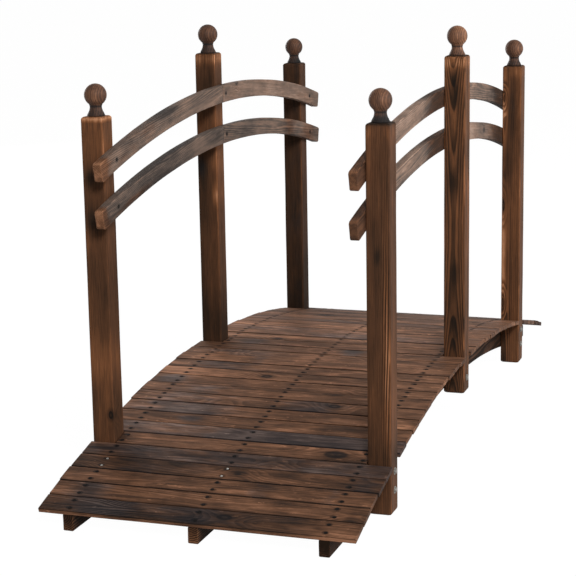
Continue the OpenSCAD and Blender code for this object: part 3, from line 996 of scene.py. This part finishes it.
# %% Make the metals
def metal(name, colour, dark, shine, roughness):
    material = bpy.data.materials.new(name)
    desk = clear_desk(material)
    place = desk.node("TexCoord", None, None, "Object")
    grime = smooth(cloud(place, (420.0, 420.0, 420.0), 3.0, 0.6), 0.42, 0.68)
    surface = desk.node("BsdfPrincipled", None, {
        "Base Color": blend(grime, colour, dark), "Metallic": shine - grime * shine * 0.4,
        "Roughness": roughness + grime * 0.25, "Specular IOR Level": shine / 2,
        "Normal": desk.node("Bump", None, {"Strength": 0.3, "Distance": 0.0002, "Height": grime})})
    desk.node("OutputMaterial", None, {"Surface": surface})
    print(name, len(material.node_tree.nodes), "nodes")
    return material


burnt_steel = metal("burnt_steel", tint(24, 21, 20), tint(12, 11, 10), 0.1, 0.7)
bright_zinc = metal("bright_zinc", tint(190, 187, 180), tint(124, 117, 108), 0.9, 0.36)
dull_zinc = metal("dull_zinc", tint(144, 141, 135), tint(86, 80, 73), 0.9, 0.42)


# %% Gather fastener heads
class Heads:
    """Fastener heads of one kind, gathered into one mesh."""

    def __init__(self):
        self.points, self.faces = [], []

    def spin(self, at, out, profile, sides, start=0.0):
        """Spins (radius, height) pairs about the direction out."""
        turned = out.to_track_quat("Z", "Y").to_matrix()
        first = len(self.points)
        for radius, height in profile:
            for k in range(sides):
                turn = start + math.tau * k / sides
                self.points.append(at + turned @ Vector(
                    (radius * math.cos(turn), radius * math.sin(turn), height)))
        self.faces += skin(first, len(profile), sides)

    def piece(self, name, material):
        made = place_mesh(name, self.points, self.faces, material)
        made.data.shade_smooth()
        made.data.set_sharp_from_angle(angle=math.radians(35))
        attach(made, "root")
        print(name, len(made.data.polygons), "faces")


# %% Drive the nails
NAIL = [(0.0039, -0.002), (0.0041, -0.0001), (0.0039, 0.00020), (0.0022, 0.00028), (0.0003, 0.00030)]
BRIGHT_NAIL = [(radius * 0.66, height) for radius, height in NAIL]
BRIGHT = {(4, -1), (4, 0)}
NAIL_PROUD, NAIL_SIDES, SHORT_SLAT_SHIFT = 0.0002, 14, 0.003
STRAY_ALONG, STRAY_ACROSS = 0.0025, 0.0015
dark_nails, bright_nails = Heads(), Heads()
nail_draw = random.Random(70)
for step in range(-SLATS_EACH_WAY, SLATS_EACH_WAY + 1):
    number, lie = step + SLATS_EACH_WAY + 1, slat_frame(step)
    for line in (-1, 0, 1):
        row = NAIL_ROW - (SHORT_SLAT_SHIFT if abs(step) in (0, POST_STEP) else 0.0)
        for across in (-NAIL_PAIR, NAIL_PAIR):
            at = lie @ Vector((line * row + nail_draw.uniform(-STRAY_ALONG, STRAY_ALONG),
                               across + nail_draw.uniform(-STRAY_ACROSS, STRAY_ACROSS),
                               slat_lifts[number] + NAIL_PROUD))
            out = lie.to_3x3() @ Vector((0, 0, 1))
            if (number, line) in BRIGHT:
                bright_nails.spin(at, out, BRIGHT_NAIL, NAIL_SIDES)
            else:
                dark_nails.spin(at, out, NAIL, NAIL_SIDES)
dark_nails.piece("deck_nails", burnt_steel)
bright_nails.piece("deck_nails_bright", bright_zinc)

# %% Turn the screws and bolts
SCREW = [(0.0034, -0.002), (0.0036, 0.0), (0.0031, 0.0002), (0.0013, 0.0001), (0.0011, -0.0008),
         (0.0002, -0.0009)]
WASHER = [(0.0074, -0.0005), (0.0078, 0.0), (0.0078, 0.0008), (0.0075, 0.0010), (0.0003, 0.0010)]
BOLT = [(0.0057, 0.001), (0.0057, 0.0032), (0.0052, 0.0037), (0.0003, 0.0037)]
SCREW_PROUD, SCREW_SIDES, WASHER_SIDES, BOLT_SIDES = 0.0003, 16, 24, 6
END_BOLTS, MIDDLE_BOLTS = (0.049, 0.089), (0.120,)
OUTER_TURN, INNER_TURN = 40, 70
screws, bolts = Heads(), Heads()


def bolt(at, out, turn):
    bolts.spin(at, out, WASHER, WASHER_SIDES)
    bolts.spin(at, out, BOLT, BOLT_SIDES, turn)


for side, sign in (("left", -1), ("right", 1)):
    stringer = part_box(f"{side}_stringer")
    inside = stringer[1].x if sign < 0 else stringer[0].x
    for row in ("front", "middle", "back"):
        low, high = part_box(f"{row}_{side}_post")
        y, outer = (low.y + high.y) / 2, low.x if sign < 0 else high.x
        for level in ("upper", "lower"):
            rail_low, rail_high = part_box(f"{'back' if row == 'middle' else row}_{side}_{level}_rail")
            z = rail_high.z - RAIL_RADIUS + math.sqrt(RAIL_MIDDLE ** 2 - y * y)
            face = (rail_high.x if sign < 0 else rail_low.x) - sign * SCREW_PROUD
            screws.spin(Vector((face, y, z)), Vector((-sign, 0, 0)), SCREW, SCREW_SIDES)
        for z in MIDDLE_BOLTS if row == "middle" else END_BOLTS:
            bolt(Vector((outer, y, z)), Vector((sign, 0, 0)), z * OUTER_TURN)
            bolt(Vector((inside, y, z)), Vector((-sign, 0, 0)), z * INNER_TURN)
screws.piece("rail_screws", burnt_steel)
bolts.piece("post_bolts", dull_zinc)
